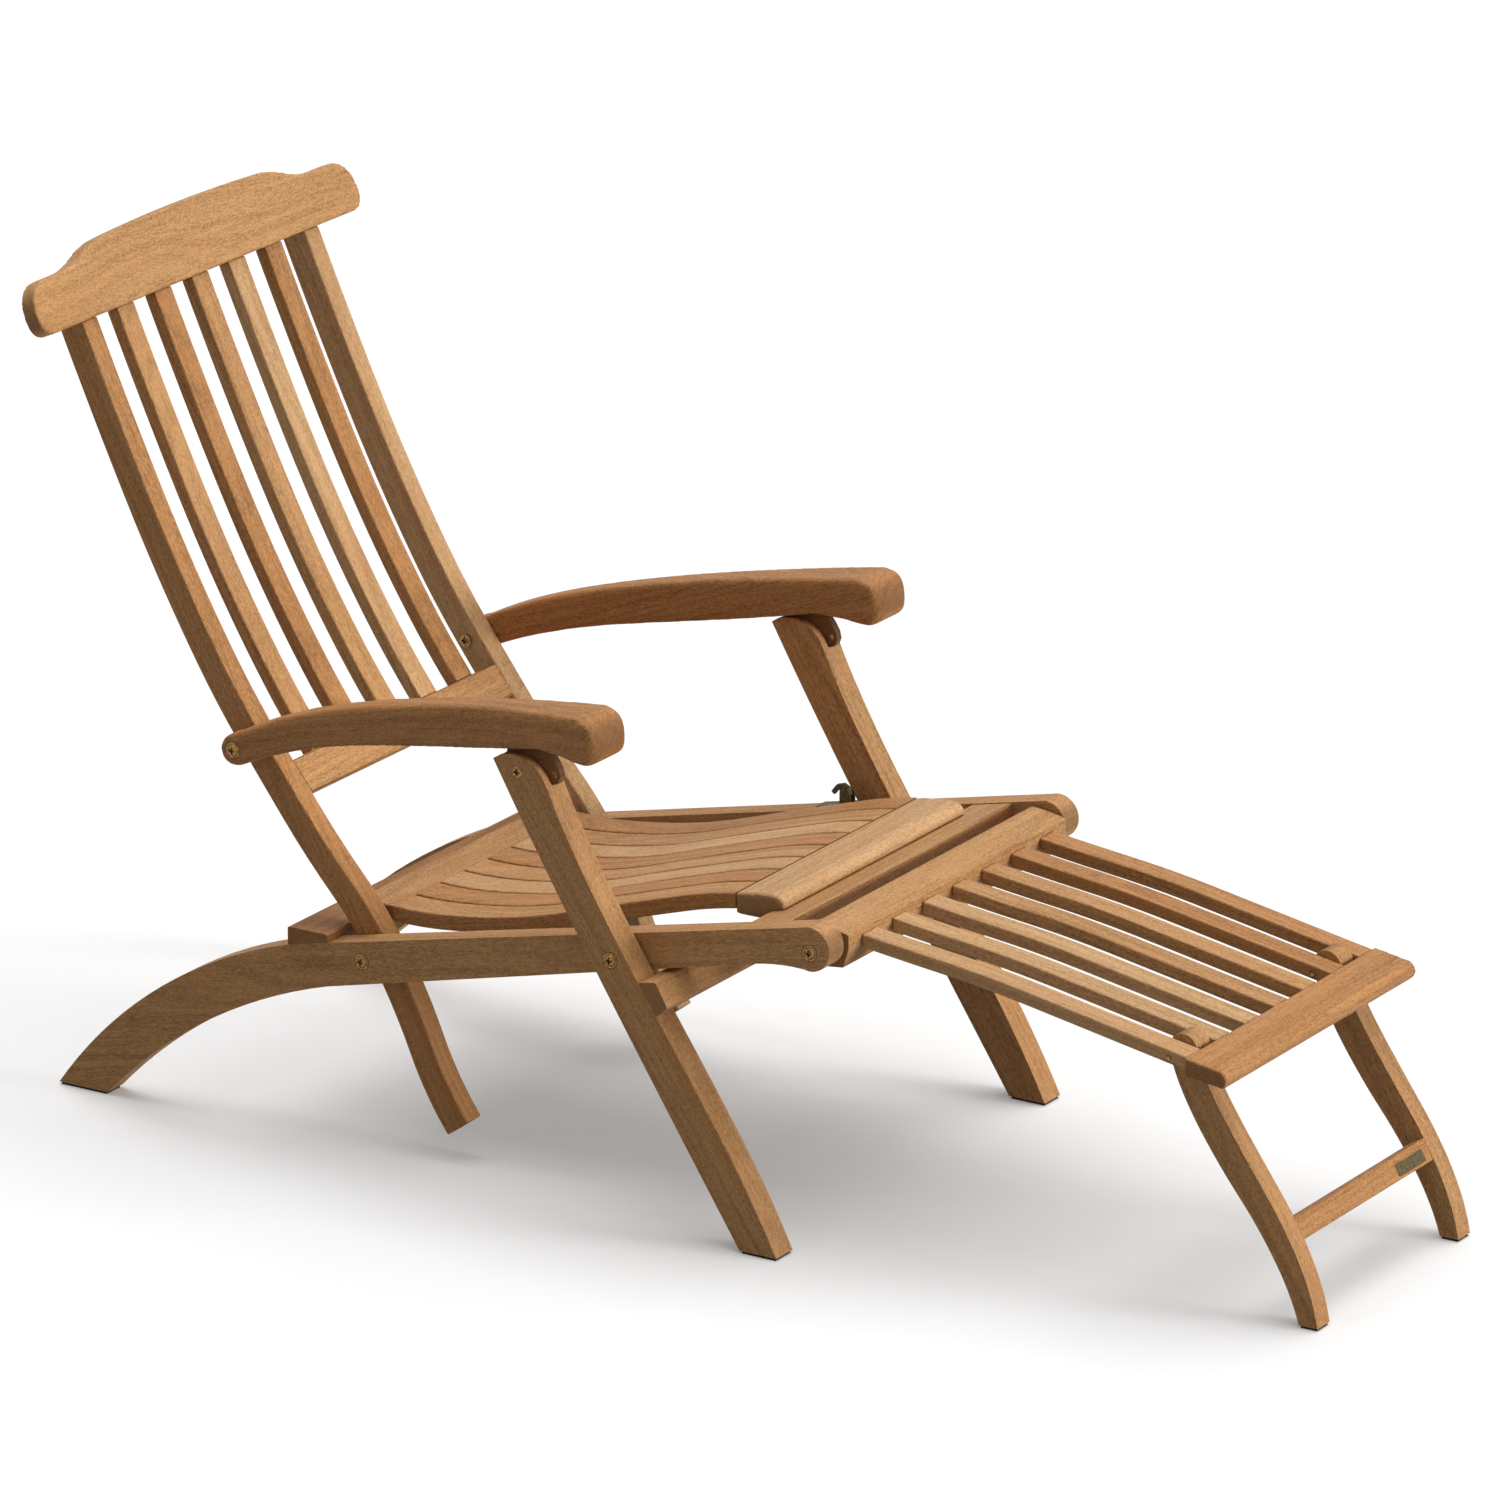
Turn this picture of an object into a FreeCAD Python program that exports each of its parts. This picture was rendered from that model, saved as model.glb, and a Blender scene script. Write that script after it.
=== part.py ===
import FreeCAD, Part
import math
import os

# Steamer deck chair in teak: a fixed seat on two swept side rails, a folding back with arms,
# folding front legs and a folding leg rest. Millimetres, +Z up, leg rest towards -Y.

# Overall sizes. The side view is drawn as a full-size pattern and stretched to these two.
chair_length = 1590.0
chair_height = 966.0
pattern_length = 1590.0
pattern_height = 966.0

# Widths, from the outside of the front legs inwards.
leg_spread = 600.0
leg_thick = 34.0
leg_washer = 4.0
rail_thick = 30.0
rail_nose = 25.0
nose_rise = 4.5
back_washer = 2.0
stile_thick = 28.0
footrest_washer = 4.0

# Clearances.
running_fit = 0.08
face_gap = 0.15
hook_gap = 0.35
pad_thick = 3.0
edge_round = 1.5

# Bolts, pins and washers.
bolt_radius = 4.0
head_radius = 9.0
head_rise = 2.2
recess_depth = 2.0
nut_radius = 7.5
nut_thick = 4.0
dome_radius = 5.5
recess_gap = 0.4
blind_end = 4.0
rest_bolt_reach = 45.0
pin_show = 1.2
washer_radius = 11.0
shaft_sides = 12
pin_radius = 4.0
slim_pin_radius = 3.0
catch_pin_radius = 1.5

# Seat.
seat_side_gap = 43.0
seat_slat_count = 8
seat_slat_gap = 4.2
seat_slat_thick = 18.5
batten_thick = 18.0
batten_gap = 0.7
tenon_length = 12.0
tenon_thick = 8.0

# Back.
stile_depth = 33.5
back_slat_count = 5
back_slat_width = 32.0
back_side_gap = 42.0
back_slat_thick = 16.0
back_slat_inset = 3.0
bottom_rail_thick = 22.0
crest_overhang = 12.0
crest_thick = 20.0
crest_proud = 2.0
crest_bow = 6000.0
crown_height = 84.0
crown_rise = 3.5
crown_slope = 95.0
ear_height = 60.5
ear_width = 67.0
ear_corner = 34.0
foot_corner = 19.0

# Arms.
arm_overhang = 22.0
tongue_thick = 10.0
slot_play = 1.0
notch_flare = 6.0

# Leg rest.
footrest_slat_count = 7
footrest_slat_width = 30.0
footrest_side_gap = 27.0
footrest_slat_thick = 15.5
footrest_leg_play = 2.75
knuckle_radius = 17.5
end_inset = 3.0
end_rail_overhang = 5.7

# Derived widths, all measured from the middle plane.
leg_out = leg_spread / 2
leg_in = leg_out - leg_thick
rail_out = leg_in - leg_washer
rail_in = rail_out - rail_thick
stile_out = rail_in - back_washer
stile_in = stile_out - stile_thick
seat_half = rail_in - seat_side_gap
footrest_half = rail_in - footrest_washer
crest_half = leg_out + crest_overhang

# Slat pitches, and the leg rest's legs, which fill the gap between two slats.
back_slat_pitch = (2 * (stile_in - back_side_gap) - back_slat_width) / (back_slat_count - 1)
footrest_slat_pitch = (2 * (footrest_half - footrest_side_gap) - footrest_slat_width) / (footrest_slat_count - 1)
footrest_leg_thick = footrest_slat_pitch - footrest_slat_width - 2 * footrest_leg_play

pieces = {}


def at(y, z):
    """A point of the side view, stretched from the pattern to the chair's own size."""
    return (y * chair_length / pattern_length, z * chair_height / pattern_height)


def vec(x, point):
    return FreeCAD.Vector(x, point[0], point[1])


def curve_through(points):
    """A smooth side-view curve through pattern points."""
    spline = Part.BSplineCurve()
    spline.interpolate([vec(0, at(*point)) for point in points])
    return spline


def station(curve, axis, value):
    """The parameter where the curve reaches a given y (axis 1) or z (axis 2)."""
    low = curve.FirstParameter
    high = curve.LastParameter
    rising = curve.value(high)[axis] > curve.value(low)[axis]
    for _ in range(50):
        middle = (low + high) / 2
        if (curve.value(middle)[axis] < value) == rising:
            low = middle
        else:
            high = middle
    return low


def beside(curve, parameter, distance):
    """The point a given distance into the wood from the curve, and the tangent there."""
    base = curve.value(parameter)
    tangent = curve.tangent(parameter)[0]
    return FreeCAD.Vector(0, base.y + distance * tangent.z, base.z - distance * tangent.y)


def arc_from(start, tangent, end):
    """An arc that leaves start along the tangent and arrives at end, or a line where it is straight."""
    chord = end.sub(start)
    cross = tangent.y * chord.z - tangent.z * chord.y
    turn = math.atan2(cross, tangent.dot(chord))
    if abs(turn) < 0.0005:
        return Part.LineSegment(start, end).toShape()
    rise = chord.Length / 2 * math.tan(turn / 2)
    side = FreeCAD.Vector(0, chord.z, -chord.y).normalize()
    middle = start.add(end).multiply(0.5).add(side.multiply(rise))
    return Part.Arc(start, middle, end).toShape()


def smooth_arcs(points, tangents):
    """Pairs of arcs that run smoothly through the points with the given tangents."""
    edges = []
    for index in range(len(points) - 1):
        start = points[index]
        end = points[index + 1]
        first = tangents[index]
        last = tangents[index + 1]
        span = end.sub(start)
        both_ways = span.dot(first.add(last))
        bend = 2 * (1 - first.dot(last))
        if bend < 1e-9:
            reach = span.dot(span) / (2 * both_ways)
        else:
            reach = (math.sqrt(both_ways ** 2 + bend * span.dot(span)) - both_ways) / bend
        left = start.add(FreeCAD.Vector(first).multiply(reach))
        right = end.sub(FreeCAD.Vector(last).multiply(reach))
        joint = left.add(right).multiply(0.5)
        edges.append(arc_from(start, first, joint))
        middle = right.sub(left).normalize()
        edges.append(arc_from(joint, middle, end))
    return edges


def walk(curve, parameter, length):
    """The parameter a given length further along the curve."""
    return curve.parameterAtDistance(length, parameter)


def slab(edges, x0, x1):
    """A prism across the chair from a closed side-view outline."""
    wire = Part.Wire(Part.__sortEdges__(edges))
    solid = Part.Face(wire).extrude(FreeCAD.Vector(x1 - x0, 0, 0))
    solid.translate(FreeCAD.Vector(x0, 0, 0))
    return solid


def band(curve, start, end, near, far, x0, x1, count=5):
    """A strip that follows the curve, between two depths under it."""
    steps = [start + (end - start) * index / (count - 1) for index in range(count)]
    tangents = [curve.tangent(step)[0] for step in steps]
    top = [beside(curve, step, near) for step in steps]
    under = [beside(curve, step, far) for step in steps]
    edges = smooth_arcs(top, tangents) + smooth_arcs(under, tangents)
    edges.append(Part.LineSegment(top[0], under[0]).toShape())
    edges.append(Part.LineSegment(top[-1], under[-1]).toShape())
    return slab(edges, x0, x1)


def stub(curve, parameter, length, near, far, x0, x1):
    """A straight tenon that leaves the end of a strip; a negative length points back down the curve."""
    tangent = curve.tangent(parameter)[0]
    top = beside(curve, parameter, near)
    under = beside(curve, parameter, far)
    ahead = FreeCAD.Vector(tangent).multiply(length)
    behind = FreeCAD.Vector(tangent).multiply(-length / 2)
    corners = [top.add(behind), top.add(ahead), under.add(ahead), under.add(behind)]
    wire = Part.makePolygon(corners + corners[:1])
    tenon = Part.Face(wire).extrude(FreeCAD.Vector(x1 - x0, 0, 0))
    tenon.translate(FreeCAD.Vector(x0, 0, 0))
    return tenon


def between(shape, start, end):
    """The part of a shape between two stations along the chair."""
    span = Part.makeBox(2000, end - start, 3000, FreeCAD.Vector(-1000, start, -1000))
    return shape.common(span)


def fair_arcs(points):
    """Arcs that run smoothly through the points, as a bent batten would."""
    guide = Part.BSplineCurve()
    guide.interpolate(points)
    return smooth_arcs(points, [guide.tangent(guide.parameter(point))[0] for point in points])


def outline(start, *runs):
    """Edges of a closed outline: a run of one point is a line, of two an arc, of more a curve."""
    edges = []
    last = start
    closing = () if runs[-1][-1] == start else ([start],)
    for run in runs + closing:
        points = [vec(0, at(*point)) for point in [last] + list(run)]
        if len(points) == 2:
            edges.append(Part.LineSegment(points[0], points[1]).toShape())
        elif len(points) == 3:
            edges.append(Part.Arc(*points).toShape())
        else:
            edges += fair_arcs(points)
        last = run[-1]
    return edges


def disc(point, radius, x):
    """A flat disc with shaft_sides corners, facing along the chair's width."""
    corners = []
    for index in range(shaft_sides):
        angle = 2 * math.pi * index / shaft_sides
        corner = (point[0] + radius * math.cos(angle), point[1] + radius * math.sin(angle))
        corners.append(vec(x, corner))
    return Part.makePolygon(corners + corners[:1])


def shaft(point, radius, x0, x1):
    """A bolt, pin or washer across the chair, centred on a side-view point."""
    return Part.Face(disc(point, radius, x0)).extrude(FreeCAD.Vector(x1 - x0, 0, 0))


def bore(point, radius, fit, x0, x1):
    """A hole whose flats clear the corners of a shaft by the fit; a fit of 0 grips the shaft."""
    reach = radius if fit == 0 else (radius + fit) / math.cos(math.pi / shaft_sides)
    return shaft(point, reach, x0, x1)


def cylinder(point, radius, x0, x1):
    """A round board end across the chair, centred on a side-view point."""
    base = vec(min(x0, x1), point)
    return Part.makeCylinder(radius, abs(x1 - x0), base, FreeCAD.Vector(1, 0, 0))


def across(edge, least=40.0):
    """Edges that run straight across the chair."""
    box = edge.BoundBox
    return box.XLength > least and box.YLength < 0.01 and box.ZLength < 0.01


def ease(board):
    """Take the corners off a straight board, along its length."""
    return board.makeChamfer(edge_round, [edge for edge in board.Edges if across(edge)])


def both(name, left):
    """A piece on the +X side and its mirror image on the -X side."""
    pieces[name + "_left"] = left
    pieces[name + "_right"] = left.mirror(FreeCAD.Vector(0, 0, 0), FreeCAD.Vector(1, 0, 0))


def pair(shapes):
    """Solids of the +X side together with their mirror images, as separate solids."""
    twins = [shape.mirror(FreeCAD.Vector(0, 0, 0), FreeCAD.Vector(1, 0, 0)) for shape in shapes]
    return Part.makeCompound(list(shapes) + twins)


# Pivots in the side view.
back_pivot = at(563.1, 224.2)
leg_pivot = at(212.9, 304.3)
arm_pin = at(330.5, 497.6)
arm_pivot = at(731.0, 439.5)
footrest_pivot = at(-16.7, 344.5)
footrest_leg_pivot = at(-425.0, 286.0)
catch_pivot = at(250.0, 330.0)

# Side rails: straight over the seat, swept down to the floor behind, round at the leg rest.
rail = slab(outline(
    (-16.7, 374.4),
    [(650, 229)],
    [(834.5, 143), (976, pad_thick)],
    [(910, pad_thick)],
    [(780, 110), (610, 186.5)],
    [(58, 318.3)],
    [(20, 324.5), (-16.7, 324.5)],
), rail_in, rail_out)
nose_middle = (footrest_pivot[0], footrest_pivot[1] + nose_rise)
rail = rail.fuse(cylinder(nose_middle, rail_nose, rail_in, rail_out)).removeSplitter()

# Cross pieces of the frame. The front board lies level with the tops of the rails.
front_crossboard = slab(outline((26, 364.2), [(78, 352.8)], [(78, 332.8)], [(26, 344.2)]),
                        -rail_in, rail_in)
crossboard_tenons = slab(outline((32, 357), [(72, 348.2)], [(72, 340.2)], [(32, 349)]),
                         -rail_in - tenon_length, rail_in + tenon_length)
front_crossboard = ease(front_crossboard).fuse(crossboard_tenons).removeSplitter()
rear_crossbar = slab(outline((608, 247.5), [(661, 247.5)], [(661, 226)], [(608, 229)]),
                     -rail_out, rail_out)
rear_crossbar = ease(rear_crossbar)

# Seat: dished slats tenoned into a front and a rear board, with a batten under the middle.
seat_top = curve_through([(64, 370.5), (115, 367), (179, 353), (217, 342), (266, 327), (339, 304),
                          (407, 284.5), (472, 273), (520, 267), (578, 267.5), (620, 271)])
front_board_back = 123
rear_board_front = 570
front_board_end = at(front_board_back, 0)[0]
rear_board_start = at(rear_board_front, 0)[0]

seat_front_rail = slab(outline(
    (60, 341),
    [(60, 357)],
    [(63.5, 366.5), (73, 371.5)],
    [(98, 369.8), (front_board_back, 365.6)],
    [(front_board_back, 341)],
), -seat_half, seat_half)
seat_rear_rail = slab(outline(
    (rear_board_front, 247.5),
    [(rear_board_front, 267)],
    [(594, 267.8), (610, 270)],
    [(618, 264)],
    [(618, 247.5)],
), -seat_half, seat_half)

seat_pitch = (2 * seat_half + seat_slat_gap) / seat_slat_count
seat_slat_width = seat_pitch - seat_slat_gap
seat_start = station(seat_top, 1, front_board_end)
seat_end = station(seat_top, 1, rear_board_start)
seat_long_start = station(seat_top, 1, front_board_end - tenon_length)
seat_long_end = station(seat_top, 1, rear_board_start + tenon_length)
tenon_near = (seat_slat_thick - tenon_thick) / 2
tenon_far = tenon_near + tenon_thick
seat_slats = []
seat_tenons = []
for index in range(seat_slat_count):
    x0 = -seat_half + index * seat_pitch
    x1 = x0 + seat_slat_width
    slat = band(seat_top, seat_long_start, seat_long_end, 0, seat_slat_thick, x0, x1, 4)
    slat = between(slat, front_board_end, rear_board_start)
    front_tenon = stub(seat_top, seat_start, -tenon_length, tenon_near, tenon_far, x0 + 4, x1 - 4)
    rear_tenon = stub(seat_top, seat_end, tenon_length, tenon_near, tenon_far, x0 + 4, x1 - 4)
    seat_tenons += [front_tenon, rear_tenon]
    slat = slat.fuse([front_tenon, rear_tenon]).removeSplitter()
    seat_slats.append(slat)
    pieces["seat_slat_%d" % (index + 1)] = slat
seat_front_rail = seat_front_rail.cut(Part.makeCompound(seat_tenons))
seat_rear_rail = seat_rear_rail.cut(Part.makeCompound(seat_tenons))

batten_start = beside(seat_top, station(seat_top, 1, at(308, 0)[0]), seat_slat_thick + batten_gap)
batten_end = beside(seat_top, station(seat_top, 1, at(352, 0)[0]), seat_slat_thick + batten_gap)
batten_drop = FreeCAD.Vector(0, 0, -batten_thick)
batten_corners = [batten_start, batten_end, batten_end.add(batten_drop), batten_start.add(batten_drop)]
batten_face = Part.Face(Part.makePolygon(batten_corners + batten_corners[:1]))
seat_mid_batten = batten_face.extrude(FreeCAD.Vector(2 * seat_half - 8, 0, 0))
seat_mid_batten.translate(FreeCAD.Vector(4 - seat_half, 0, 0))

seat_front_rail = seat_front_rail.cut(front_crossboard)
rear_crossbar = rear_crossbar.cut(pair([rail]))
rail = rail.cut(crossboard_tenons)

# Back: two bent stiles, five bent slats, a bottom rail and a shaped crest rail.
back_front = curve_through([(446, 49), (485, 115), (523, 195), (557, 251), (583, 283), (618, 323),
                            (650, 364), (681, 405), (724, 462), (780, 551), (804, 593), (848, 677),
                            (889, 763), (928, 848), (946, 889), (961, 923)])
stile_foot = back_front.FirstParameter
crest_foot = station(back_front, 2, at(0, 889)[1])
stile = band(back_front, stile_foot, crest_foot, 0, stile_depth, stile_in, stile_out, 6)
stile_tenon = stub(back_front, crest_foot, 2 * tenon_length, 3, 13, stile_in + 4, stile_out - 4)
stile = stile.fuse(stile_tenon).removeSplitter()

bottom_low = station(back_front, 2, at(0, 386)[1])
bottom_high = station(back_front, 2, at(0, 419)[1])
back_bottom_rail = band(back_front, bottom_low, bottom_high, 0, bottom_rail_thick,
                        -stile_in, stile_in, 2)
back_bottom_rail = ease(back_bottom_rail)
bottom_rail_tenons = band(back_front, walk(back_front, bottom_low, 5),
                          walk(back_front, bottom_high, -5), 7, 7 + tenon_thick,
                          -stile_in - tenon_length, stile_in + tenon_length, 2)
back_bottom_rail = back_bottom_rail.fuse(bottom_rail_tenons).removeSplitter()
stile = stile.cut(bottom_rail_tenons)

slat_near = back_slat_inset
slat_far = back_slat_inset + back_slat_thick
back_tenons = []
for index in range(back_slat_count):
    middle = (index - (back_slat_count - 1) / 2) * back_slat_pitch
    x0 = middle - back_slat_width / 2
    x1 = middle + back_slat_width / 2
    slat = band(back_front, bottom_high, crest_foot, slat_near, slat_far, x0, x1, 4)
    low_tenon = stub(back_front, bottom_high, -tenon_length, 5, 5 + tenon_thick, x0 + 4, x1 - 4)
    high_tenon = stub(back_front, crest_foot, tenon_length, 5, 5 + tenon_thick, x0 + 4, x1 - 4)
    back_tenons += [low_tenon, high_tenon]
    pieces["back_slat_%d" % (index + 1)] = slat.fuse([low_tenon, high_tenon]).removeSplitter()
back_bottom_rail = back_bottom_rail.cut(Part.makeCompound(back_tenons))

# The crest is drawn flat, (across, up), as one half and its mirror image. Two large cylinders bow
# it, and it is then turned across the chair and tilted onto the back.
def crest_point(across_chair, up):
    return FreeCAD.Vector(0, across_chair, up)


outwards = crest_point(1, 0)
upwards = crest_point(0, 1)
inwards = crest_point(-1, 0)
ear_in = crest_half - ear_width
ear_out = crest_half - ear_corner
crown_half = ear_in - crown_slope
crown_radius = (crown_half ** 2 + crown_rise ** 2) / (2 * crown_rise)
crown_tangent = crest_point(-math.cos(crown_half / crown_radius), math.sin(crown_half / crown_radius))
crest_edges = [Part.LineSegment(crest_point(0, 0), crest_point(crest_half - foot_corner, 0)).toShape()]
crest_edges += smooth_arcs(
    [crest_point(crest_half - foot_corner, 0), crest_point(crest_half, foot_corner)],
    [outwards, upwards])
crest_edges.append(Part.LineSegment(crest_point(crest_half, foot_corner),
                                    crest_point(crest_half, ear_height - ear_corner)).toShape())
crest_edges += smooth_arcs(
    [crest_point(crest_half, ear_height - ear_corner), crest_point(ear_out, ear_height)],
    [upwards, inwards])
crest_edges.append(Part.LineSegment(crest_point(ear_out, ear_height),
                                    crest_point(ear_in, ear_height)).toShape())
crest_edges += smooth_arcs(
    [crest_point(ear_in, ear_height), crest_point(crown_half, crown_height - crown_rise),
     crest_point(0, crown_height)],
    [inwards, crown_tangent, inwards])
crest_edges += [edge.mirror(crest_point(0, 0), crest_point(1, 0)) for edge in crest_edges]
crest = slab(crest_edges, -30, 30)
bow_base = FreeCAD.Vector(crest_proud + crest_bow, 0, -50)
hollow = Part.makeCylinder(crest_bow, 200, bow_base)
hump = Part.makeCylinder(crest_bow + crest_thick, 200, bow_base)
crest = crest.common(hump).cut(hollow)
crest_tangent = back_front.tangent(crest_foot)[0]
crest_base = back_front.value(crest_foot)
lean = math.degrees(math.atan2(crest_tangent.z, crest_tangent.y))
crest.rotate(FreeCAD.Vector(0, 0, 0), FreeCAD.Vector(0, 0, 1), -90)
crest.rotate(FreeCAD.Vector(0, 0, 0), FreeCAD.Vector(1, 0, 0), lean - 90)
crest.translate(FreeCAD.Vector(0, crest_base.y, crest_base.z))
crest = crest.cut(Part.makeCompound(back_tenons)).cut(pair([stile_tenon]))

# Armrests: a curved side profile met by a plan outline that widens towards the front. The plan is
# drawn flat, (along, across), and then laid down over the side profile.
arm_front = leg_out + arm_overhang
flare = arm_front - rail_out
arm_profile = outline(
    (731, 457.5),
    [(656, 492), (540, 527), (355, 564), (252, 578)],
    [(229, 574), (214, 552)],
    [(214, 547)],
    [(220, 531.5), (237, 526)],
    [(268, 529), (300, 530)],
    [(368, 514.5), (497, 489), (601, 466), (724, 421.5)],
    [(749, 437), (731, 457.5)],
)
arm_side = slab(arm_profile, rail_in - 20, arm_front + 20)


def plan(x, y):
    return FreeCAD.Vector(0, at(y, 0)[0], x)


plan_edges = fair_arcs([plan(rail_out, 640), plan(rail_out + 0.1 * flare, 575),
                        plan(rail_out + 0.3 * flare, 470), plan(rail_out + 0.58 * flare, 360),
                        plan(rail_out + 0.86 * flare, 280), plan(arm_front, 235)])
plan_edges += fair_arcs([plan(rail_in, 640), plan(rail_in + 3, 575), plan(rail_in + 8, 470),
                         plan(rail_in + 16, 360), plan(rail_in + 21, 290), plan(rail_in + 24, 232)])
plan_edges += [
    Part.LineSegment(plan(rail_out, 640), plan(rail_out, 760)).toShape(),
    Part.LineSegment(plan(rail_out, 760), plan(rail_in, 760)).toShape(),
    Part.LineSegment(plan(rail_in, 760), plan(rail_in, 640)).toShape(),
    Part.Arc(plan(arm_front, 235), plan(arm_front - 5, 219), plan(arm_front - 20, 213)).toShape(),
    Part.LineSegment(plan(arm_front - 20, 213), plan(rail_in + 40, 213)).toShape(),
    Part.Arc(plan(rail_in + 40, 213), plan(rail_in + 28.5, 218), plan(rail_in + 24, 232)).toShape(),
]
arm_plan = Part.Face(Part.Wire(Part.__sortEdges__(plan_edges)))
arm_plan = arm_plan.extrude(FreeCAD.Vector(-chair_height, 0, 0))
arm_plan.rotate(FreeCAD.Vector(0, 0, 0), FreeCAD.Vector(0, 1, 0), 90)
arm = arm_side.common(arm_plan)

# Front legs: curved, with a round top that is slotted for the arm's tongue.
leg = slab(outline(
    (1, pad_thick),
    [(152.3, 248.9), (231, 370), (294.7, 489.3)],
    [(322.5, 514), (362.2, 507.8)],
    [(301.7, 403.6), (148.7, 158.9), (48, pad_thick)],
), leg_in, leg_out)
leg_middle = (leg_in + leg_out) / 2
slot_half = tongue_thick / 2 + slot_play
slot = slab(outline((240, 502.9), [(400, 453.2)], [(400, 560)], [(240, 560)]),
            leg_middle - slot_half, leg_middle + slot_half)
leg = leg.cut(slot)
leg_stretcher = slab(outline((176.5, 286), [(155, 290)], [(139, 263)], [(153.5, 251)], [(168, 262)]),
                     -leg_out, leg_out)
leg_stretcher = ease(leg_stretcher)
leg_stretcher = leg_stretcher.cut(pair([leg]))

# Tongues: let into the arm, hooked over the pin in the leg's slot.
tongue = slab(outline((306, 486), [(306, 538)], [(352, 527)], [(352, 494)], [(347, 486)]),
              leg_middle - tongue_thick / 2, leg_middle + tongue_thick / 2)
notch_radius = pin_radius + hook_gap
notch_run = (0.45 * 30, -0.89 * 30)
notch_end = (arm_pin[0] + notch_run[0], arm_pin[1] + notch_run[1])
notch_side = (0.89 * notch_radius, 0.45 * notch_radius)
notch_points = [
    (arm_pin[0] + notch_side[0], arm_pin[1] + notch_side[1]),
    (notch_end[0] + notch_side[0] + notch_flare, notch_end[1] + notch_side[1]),
    (notch_end[0] - notch_side[0], notch_end[1] - notch_side[1]),
    (arm_pin[0] - notch_side[0], arm_pin[1] - notch_side[1]),
]
notch_loop = [vec(leg_middle - 20, point) for point in notch_points + notch_points[:1]]
notch = Part.Face(Part.makePolygon(notch_loop)).extrude(FreeCAD.Vector(40, 0, 0))
tongue = tongue.cut(notch).cut(cylinder(arm_pin, notch_radius, leg_middle - 20, leg_middle + 20))
arm = arm.cut(tongue)

# Leg rest: a rail on the pivots, seven slats and an end rail.
footrest_top = curve_through([(-485, 286.2), (-447, 292.5), (-368, 309), (-267, 324.5), (-211, 334),
                              (-155, 341), (-95, 348), (-45, 354), (-15, 358)])
end_board_inner = -448.5
rear_board_outer = -45
footrest_rear_rail = slab(outline(
    (-38, 322),
    [(rear_board_outer, 343)],
    [(rear_board_outer, 360)],
    [(-22, 364.5), (-2, 366.5)],
    [(4, 361), (5, 352)],
    [(4, 333)],
    [(-8, 322), (-20, 320)],
), -footrest_half, footrest_half)
end_rail_half = 3 * footrest_slat_pitch + footrest_slat_width / 2 + end_rail_overhang
footrest_end_rail = slab(outline(
    (end_board_inner, 293),
    [(-488, 286.4)],
    [(-499, 279), (-495, 266)],
    [(end_board_inner, 271)],
), -end_rail_half, end_rail_half)
footrest_near = at(end_board_inner, 0)[0]
footrest_far = at(rear_board_outer, 0)[0]
rest_start = station(footrest_top, 1, footrest_near)
rest_end = station(footrest_top, 1, footrest_far)
rest_long_start = station(footrest_top, 1, footrest_near - tenon_length)
rest_long_end = station(footrest_top, 1, footrest_far + tenon_length)
rest_near = (footrest_slat_thick - tenon_thick) / 2
rest_tenons = []
for index in range(footrest_slat_count):
    middle = (index - (footrest_slat_count - 1) / 2) * footrest_slat_pitch
    x0 = middle - footrest_slat_width / 2
    x1 = middle + footrest_slat_width / 2
    slat = band(footrest_top, rest_long_start, rest_long_end, 0, footrest_slat_thick, x0, x1, 3)
    slat = between(slat, footrest_near, footrest_far)
    front_tenon = stub(footrest_top, rest_start, -tenon_length, rest_near, rest_near + tenon_thick,
                       x0 + 4, x1 - 4)
    rear_tenon = stub(footrest_top, rest_end, tenon_length, rest_near, rest_near + tenon_thick,
                      x0 + 4, x1 - 4)
    rest_tenons += [front_tenon, rear_tenon]
    pieces["footrest_slat_%d" % (index + 1)] = slat.fuse([front_tenon, rear_tenon]).removeSplitter()
footrest_rear_rail = footrest_rear_rail.cut(Part.makeCompound(rest_tenons))
footrest_end_rail = footrest_end_rail.cut(Part.makeCompound(rest_tenons))

# Leg rest legs, each between two slats, with a bar let into the front of both.
prop_middle = 2.5 * footrest_slat_pitch
prop_in = prop_middle - footrest_leg_thick / 2
prop_out = prop_middle + footrest_leg_thick / 2
prop = slab(outline(
    (-407.8, 281),
    [(-447, 199), (-542, 66), (-570, pad_thick)],
    [(-593, pad_thick)],
    [(-563, 86), (-500, 182), (-447, 270)],
    [(-407.8, 281)],
), prop_in, prop_out)
prop = prop.fuse(cylinder(footrest_leg_pivot, knuckle_radius, prop_in, prop_out)).removeSplitter()
footrest_leg_stretcher = ease(slab(outline((-556.5, 117), [(-568.5, 94)], [(-552.5, 85.5)], [(-540.5, 108.5)]),
                                   end_inset - prop_out, prop_out - end_inset))
prop = prop.cut(footrest_leg_stretcher)


# Bolts with domed heads, sunk a little into the face that they bear on.
def bolt(point, head_face, end):
    """A bolt from a domed head at one face to its far end, nearer the middle."""
    seat = head_face - recess_depth + face_gap
    shank = shaft(point, bolt_radius, end, seat)
    head = shaft(point, head_radius, seat, head_face)
    rings = [disc(point, head_radius, head_face), disc(point, dome_radius, head_face + head_rise)]
    return shank.fuse([head, Part.makeLoft(rings, True, True)]).removeSplitter()


def bolt_hole(point, head_face, end, fit):
    """The hole for a bolt and the recess for its head."""
    hole = bore(point, bolt_radius, fit, end, head_face + 1)
    return hole.fuse(bore(point, head_radius, recess_gap, head_face - recess_depth, head_face + 1))


nut_end = stile_in - nut_thick

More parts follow.
